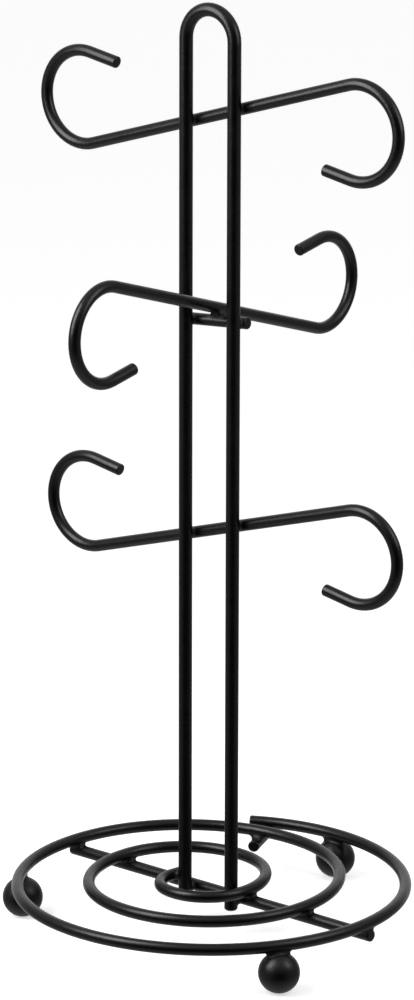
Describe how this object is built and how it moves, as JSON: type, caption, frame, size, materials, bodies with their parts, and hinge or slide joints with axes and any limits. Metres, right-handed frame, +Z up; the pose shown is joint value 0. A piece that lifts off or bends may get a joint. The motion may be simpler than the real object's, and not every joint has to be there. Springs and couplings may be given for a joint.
{
  "type": "mug tree",
  "caption": "Black coated wire mug tree: hairpin post, sloping arms hooked at both ends, and a flat spiral base on small balls.",
  "frame": {"origin": "on the table: midway between the hooks of the top and bottom arms, in the upright plane that those arms lie in", "axes": "+Z up along the post, +X along the top and bottom arms towards their raised ends, -Y towards the raised end of the middle arm"},
  "size_m": [0.1732, 0.1712, 0.3606],
  "materials": {
    "wire_coat": "satin black powder coat",
    "ball_coat": "satin black powder coat",
    "weld_coat": "satin black powder coat"
  },
  "bodies": {
    "root": {"post_hairpin": "wire_coat", "top_arm": "wire_coat", "middle_arm": "wire_coat", "bottom_arm": "wire_coat", "arm_cross_pin": "wire_coat", "base_spiral": "wire_coat", "base_cross_bar": "wire_coat", "base_tie_bar": "wire_coat", "foot_left": "ball_coat", "foot_right": "ball_coat", "foot_back": "ball_coat", "top_arm_welds": "weld_coat", "middle_arm_weld": "weld_coat", "bottom_arm_welds": "weld_coat", "cross_pin_welds": "weld_coat", "cross_bar_leg_welds": "weld_coat", "spiral_bar_welds": "weld_coat", "spiral_end_weld": "weld_coat", "tie_bar_welds": "weld_coat", "foot_left_weld": "weld_coat", "foot_right_weld": "weld_coat", "foot_back_weld": "weld_coat"}
  },
  "joints": []
}
